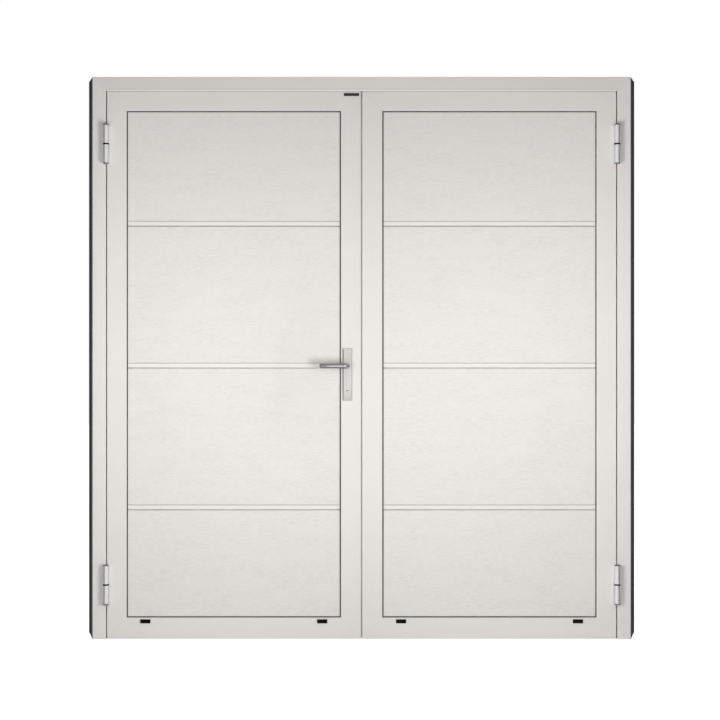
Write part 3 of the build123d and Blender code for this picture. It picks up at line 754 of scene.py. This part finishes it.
def makeDripLip(name, body, side):
    near = door["leafNear"] + dripLip["endPlay"]
    far = door["leafFar"] - dripLip["endPlay"]
    x = side * (near + far) / 2
    y = door["frontY"] + dripLip["depth"] / 2
    z = (dripLip["low"] + dripLip["high"]) / 2
    lip = addBlock((far - near, dripLip["depth"], dripLip["high"] - dripLip["low"]), (x, y, z))
    pressFaces(lip, lambda face: face.normal.z < -faceLimit, dripLip["bevel"], (0.0, 0.0, -dripLip["bevel"]))
    roundEdges(lip, dripLip["round"], segments=2)
    finishPiece(lip, name, body, "leafCoat")


makeDripLip("left_drip_lip", "left_leaf", -1)
makeDripLip("right_drip_lip", "right_leaf", 1)

# Thin rubber fin on the left leaf's meeting seal, which closes most of the slit between the two seals
meetingFin = {"from": -0.0009, "to": 0.0003, "y": -0.022, "thick": 0.0018, "tip": 0.0004, "endPlay": 0.003}


def makeMeetingFin():
    low = door["leafLow"] + meetingFin["endPlay"]
    high = door["leafHigh"] - meetingFin["endPlay"]
    width = meetingFin["to"] - meetingFin["from"]
    x = (meetingFin["to"] + meetingFin["from"]) / 2
    fin = addBlock((width, meetingFin["thick"], high - low), (x, meetingFin["y"], (low + high) / 2))
    roundEdges(fin, meetingFin["tip"])
    finishPiece(fin, "meeting_seal_fin", "left_leaf", "gasketRubber")


makeMeetingFin()

# Dust shutter just inside the key slot: a dark blade with a fold along its middle, whose black also stands in
# as painted shade inside the slot
keyShutterShade = {
    "width": 0.0088,
    "height": 0.0022,
    "depth": 0.0016,
    "setBack": 0.0004,
    "fold": 0.0005,
    "round": 0.0002,
}


def makeKeyShutterShade():
    low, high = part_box("key_plug")
    x = (low.x + high.x) / 2
    y = low.y + keyShutterShade["setBack"] + keyShutterShade["depth"] / 2
    # Black blade, partly a dust shutter and partly standing in for the slot's shade
    shutterShade = addBlock((keyShutterShade["width"], keyShutterShade["depth"], keyShutterShade["height"]), (x, y, door["keyZ"]))
    fold = keyShutterShade["fold"]
    pressFaces(shutterShade, lambda face: face.normal.y < -faceLimit, fold, (0.0, fold, 0.0))
    roundEdges(shutterShade, keyShutterShade["round"], segments=2)
    finishPiece(shutterShade, "key_slot_shutter_shade", "key_plug", "blackPlastic")


makeKeyShutterShade()

# Countersunk screws with a cross recess: modelled once, head up, and copied to their plates
screw = {
    "radius": 0.0034,
    "sides": 32,
    "height": 0.0016,
    "proud": 0.0004,
    "round": 0.00035,
    "roundAngle": 60.0,
    "recess": 0.0040,
    "recessWidth": 0.0010,
    "recessDepth": 0.0009,
}
lockScrewZ = (0.860, 1.092)
boltScrewIn = (0.006, 0.124)     # from the outer end of each flush bolt plate
boltLow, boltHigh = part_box("flush_bolt_plates")
screwSets = {
    "faceplate_screws": {
        "body": "left_leaf",
        "slot": "lock_steel",
        "across": (-door["leafNear"], door["lockY"]),
        "rise": lockScrewZ,
        "turn": (0.3, quarter, 0.0),
        "outward": (1, 0, 0),
    },
    "strike_screws": {
        "body": "right_leaf",
        "slot": "lock_steel",
        "across": (door["leafNear"], door["lockY"]),
        "rise": lockScrewZ,
        "turn": (-0.5, -quarter, 0.0),
        "outward": (-1, 0, 0),
    },
    "inside_plate_screws": {
        "body": "left_leaf",
        "slot": "handle_steel",
        "across": (-0.052, 0.039),
        "rise": (0.8965, 1.0690),
        "turn": (-quarter, 0.0, 0.4),
        "outward": (0, 1, 0),
    },
    "flush_bolt_screws": {
        "body": "right_leaf",
        "slot": "lock_steel",
        "across": (door["leafNear"], 0.022),
        "rise": [boltLow.z + far for far in boltScrewIn] + [boltHigh.z - far for far in reversed(boltScrewIn)],
        "turn": (0.7, -quarter, 0.0),
        "outward": (-1, 0, 0),
    },
}


def makeScrew():
    head = addDisc(screw["radius"], screw["height"], screw["sides"], (0.0, 0.0, 0.0))
    roundEdges(head, screw["round"], segments=2, angle=screw["roundAngle"])
    top = screw["height"] / 2
    for size in ((screw["recess"], screw["recessWidth"]), (screw["recessWidth"], screw["recess"])):
        cutAway(head, addBlock((size[0], size[1], 2 * screw["recessDepth"]), (0.0, 0.0, top)))
    return head


def driveScrews(source, name, facts):
    sink = (screw["height"] / 2 - screw["proud"]) * Vector(facts["outward"])
    x, y = facts["across"]
    copies = [copyTo(source, Vector((x, y, z)) - sink, facts["turn"]) for z in facts["rise"]]
    finishPiece(joinPieces(copies), name, facts["body"], "screwSteel")


screwSource = makeScrew()
for name, facts in screwSets.items():
    driveScrews(screwSource, name, facts)
bpy.data.objects.remove(screwSource)

# Domed plastic covers on the two ends of every hinge, with a shallow dimple in the crown
hingeCover = {
    "radius": 0.0103,
    "sides": 48,
    "height": 0.0022,
    "shoulder": 0.0035,    # from the rim to the crown
    "dome": 0.0010,
    "crownLimit": 0.99,    # the crown is level, the shoulder round it is not
    "dimpleIn": 0.0030,
    "dimple": 0.0004,
    "round": 0.0006,
    "roundAngle": 15.0,
    "apart": 0.145,        # from one end of a hinge to the other
    "axisIn": 0.0105,      # from the outer side of the pins to their axis
}


def makeHingeCover():
    height = hingeCover["height"]
    cover = addDisc(hingeCover["radius"], height, hingeCover["sides"], (0.0, 0.0, height / 2))
    rise = (0.0, 0.0, hingeCover["dome"])
    pressFaces(cover, lambda face: face.normal.z > faceLimit, hingeCover["shoulder"], rise)
    sink = (0.0, 0.0, -hingeCover["dimple"])
    pressFaces(cover, lambda face: face.normal.z > hingeCover["crownLimit"], hingeCover["dimpleIn"], sink)
    roundEdges(cover, hingeCover["round"], angle=hingeCover["roundAngle"])
    return cover


def makeHingeCovers():
    source = makeHingeCover()
    low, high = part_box("hinge_pins")
    axisX = high.x - hingeCover["axisIn"]
    axisY = (low.y + high.y) / 2
    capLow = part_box("hinge_caps")[0]
    tops = (high.z, capLow.z + hingeCover["apart"])
    bottoms = (capLow.z, high.z - hingeCover["apart"])
    copies = []
    for x in (-axisX, axisX):
        copies += [copyTo(source, (x, axisY, z), (0.0, 0.0, 0.0)) for z in tops]
        copies += [copyTo(source, (x, axisY, z), (math.pi, 0.0, 0.0)) for z in bottoms]
    bpy.data.objects.remove(source)
    finishPiece(joinPieces(copies), "hinge_end_covers", "frame", "hingeCapPlastic")


makeHingeCovers()

# Camera at the photograph's viewing angle: straight on, a little under mid-height
camera = {"place": (-0.006, -6.0, 1.038), "turn": (quarter, 0.0, 0.0), "lens": 80.34, "sensor": 36.0}
clearChoice()
bpy.ops.object.camera_add(location=camera["place"], rotation=camera["turn"])
bpy.context.object.data.lens = camera["lens"]
bpy.context.object.data.sensor_width = camera["sensor"]
bpy.context.scene.camera = bpy.context.object

# Soft studio light: a broad pair in front, a lamp behind, and key lamps that light each half from the other
# side, as in the photograph, whose two halves mirror each other
lamps = {
    "leftLamp": {"place": (-1.01, -1.71, 1.12), "aim": (-1.01, 0.0, 1.12), "size": 1.1, "power": 9.3},
    "rightLamp": {"place": (1.01, -1.71, 1.12), "aim": (1.01, 0.0, 1.12), "size": 1.1, "power": 9.3},
    "leftKey": {
        "place": (0.88, -1.90, 0.58),
        "aim": (-3.1, 0.0, 1.9),
        "size": 0.90,
        "power": 19.6,
        "spread": 2.20,
        "lights": "leftHalf",
    },
    "rightKey": {
        "place": (-0.88, -1.90, 0.58),
        "aim": (3.1, 0.0, 1.9),
        "size": 0.90,
        "power": 19.6,
        "spread": 2.20,
        "lights": "rightHalf",
    },
    "middleKey": {
        "place": (0.0, -1.90, 0.29),
        "aim": (0.0, 0.0, 2.07),
        "size": 0.65,
        "power": 22.6,
        "lights": "bothHalves",
    },
    "backLamp": {"place": (-0.5, 2.5, 1.7), "aim": (0.0, 0.0, 1.0), "size": 1.4, "power": 49.0},
}
halves = {name: bpy.data.collections.new(name) for name in ("leftHalf", "rightHalf", "bothHalves")}

# A piece that passes the middle by more than this belongs to both halves
halfEdge = 0.001


def sortHalves():
    bpy.context.view_layer.update()
    for piece in bpy.context.scene.objects:
        if piece.type != "MESH":
            continue
        across = [(piece.matrix_world @ Vector(corner)).x for corner in piece.bound_box]
        if max(across) < halfEdge:
            side = "leftHalf"
        elif min(across) > -halfEdge:
            side = "rightHalf"
        else:
            side = "bothHalves"
        halves[side].objects.link(piece)


def hangLamp(name, facts):
    place = Vector(facts["place"])
    turn = (Vector(facts["aim"]) - place).to_track_quat("-Z", "Y").to_euler()
    clearChoice()
    bpy.ops.object.light_add(type="AREA", location=place, rotation=turn)
    lamp = bpy.context.object
    lamp.name = name
    lamp.data.size = facts["size"]
    lamp.data.energy = facts["power"]
    if "spread" in facts:
        lamp.data.spread = facts["spread"]
    if "lights" in facts:
        lamp.light_linking.receiver_collection = halves[facts["lights"]]
        lamp.visible_glossy = False
    lamp.visible_camera = False


sortHalves()
for name, facts in lamps.items():
    hangLamp(name, facts)

# Pale floor: lit and shaded near the door, fading to white with distance
floor = {
    "size": 40.0,
    "colour": (0.82, 0.82, 0.815, 1.0),
    "roughness": 0.9,
    "specular": 0.1,
    "lift": 0.76,
    "fadeFrom": 1.1,
    "fadeTo": 4.0,
}


def backdropRays(tree):
    rays = addNode(tree, "ShaderNodeLightPath").outputs
    seen = calc(tree, "ADD", rays["Is Camera Ray"], rays["Is Glossy Ray"])
    seen = calc(tree, "ADD", seen, rays["Is Transmission Ray"])
    return calc(tree, "MINIMUM", seen, 1.0)


def layFloor():
    clearChoice()
    bpy.ops.mesh.primitive_plane_add(size=floor["size"], location=(0.0, 0.0, 0.0))
    ground = bpy.context.object
    ground.name = "studioFloor"
    finish, tree, shader = startFinish("studioFloor", specular=floor["specular"])
    shader.inputs["Base Color"].default_value = floor["colour"]
    shader.inputs["Roughness"].default_value = floor["roughness"]
    away = addNode(tree, "ShaderNodeVectorMath", {0: objectPoint(tree)}, operation="LENGTH").outputs["Value"]
    glow = spread(tree, away, floor["fadeFrom"], floor["fadeTo"], floor["lift"], 1.0)
    shader.inputs["Emission Color"].default_value = white
    tree.links.new(calc(tree, "MULTIPLY", glow, backdropRays(tree)), shader.inputs["Emission Strength"])
    ground.data.materials.append(finish)


layFloor()

# White surroundings for the camera and for reflections, a softer fill for everything else
sky = {"fill": (1.0, 0.995, 0.985, 1.0), "fillStrength": 0.194, "whiteStrength": 1.0}


def hangSky():
    world = bpy.data.worlds.new("studio")
    bpy.context.scene.world = world
    world.use_nodes = True
    tree = world.node_tree
    tree.nodes.clear()
    fill = addNode(tree, "ShaderNodeBackground", {"Color": sky["fill"], "Strength": sky["fillStrength"]})
    back = addNode(tree, "ShaderNodeBackground", {"Color": white, "Strength": sky["whiteStrength"]})
    choices = {0: backdropRays(tree), 1: fill.outputs[0], 2: back.outputs[0]}
    either = addNode(tree, "ShaderNodeMixShader", choices)
    addNode(tree, "ShaderNodeOutputWorld", {"Surface": either.outputs[0]})


hangSky()

# Cards that only reflections see: dark ones near the metal draw its edges, pale ones light the lever and plate
sideways = (0.0, quarter, 0.0)
upright = (quarter, 0.0, 0.0)
level = (0.0, 0.0, 0.0)
cardFinish = {"colour": (0.03, 0.03, 0.032, 1.0), "roughness": 1.0, "specular": 0.0}
cards = {
    "leftCard": {"place": (-1.02, -0.100, 1.05), "turn": sideways, "size": (2.0, 0.12), "glow": 0.0},
    "rightCard": {"place": (1.02, -0.100, 1.05), "turn": sideways, "size": (2.0, 0.12), "glow": 0.0},
    "handleCard": {"place": (-0.33, -0.16, 0.98), "turn": sideways, "size": (0.30, 0.20), "glow": 0.0},
    "plateCard": {"place": (0.12, -0.16, 0.98), "turn": sideways, "size": (0.30, 0.20), "glow": 0.9},
    "overLever": {"place": (-0.12, -0.20, 1.145), "turn": level, "size": (0.36, 0.20), "glow": 0.42},
    "underLever": {"place": (-0.12, -0.20, 0.875), "turn": level, "size": (0.36, 0.20), "glow": 0.42},
    "tipCard": {"place": (-0.245, -0.45, 1.02), "turn": upright, "size": (0.21, 0.60), "glow": 0.25},
    "neckCard": {"place": (-0.047, -0.45, 1.016), "turn": upright, "size": (0.046, 0.075), "glow": 0.10},
    "elbowCard": {"place": (0.05, -0.115, 1.016), "turn": sideways, "size": (0.055, 0.16), "glow": 0.12},
    "paleCard": {"place": (-0.145, -2.40, 0.62), "turn": upright, "size": (0.18, 0.50), "glow": 6.0},
}


def hangCard(name, facts):
    clearChoice()
    bpy.ops.mesh.primitive_plane_add(size=1.0, location=facts["place"], rotation=facts["turn"])
    card = bpy.context.object
    card.name = name
    card.scale = (facts["size"][0], facts["size"][1], 1.0)
    finish, _, shader = startFinish(name, specular=cardFinish["specular"])
    shader.inputs["Base Color"].default_value = cardFinish["colour"]
    shader.inputs["Roughness"].default_value = cardFinish["roughness"]
    shader.inputs["Emission Color"].default_value = white
    shader.inputs["Emission Strength"].default_value = facts["glow"]
    card.data.materials.append(finish)
    card.visible_camera = False
    card.visible_diffuse = False
    card.visible_transmission = False
    card.visible_shadow = False


for name, facts in cards.items():
    hangCard(name, facts)

bpy.context.scene.view_settings.view_transform = "Standard"
print("studio set")
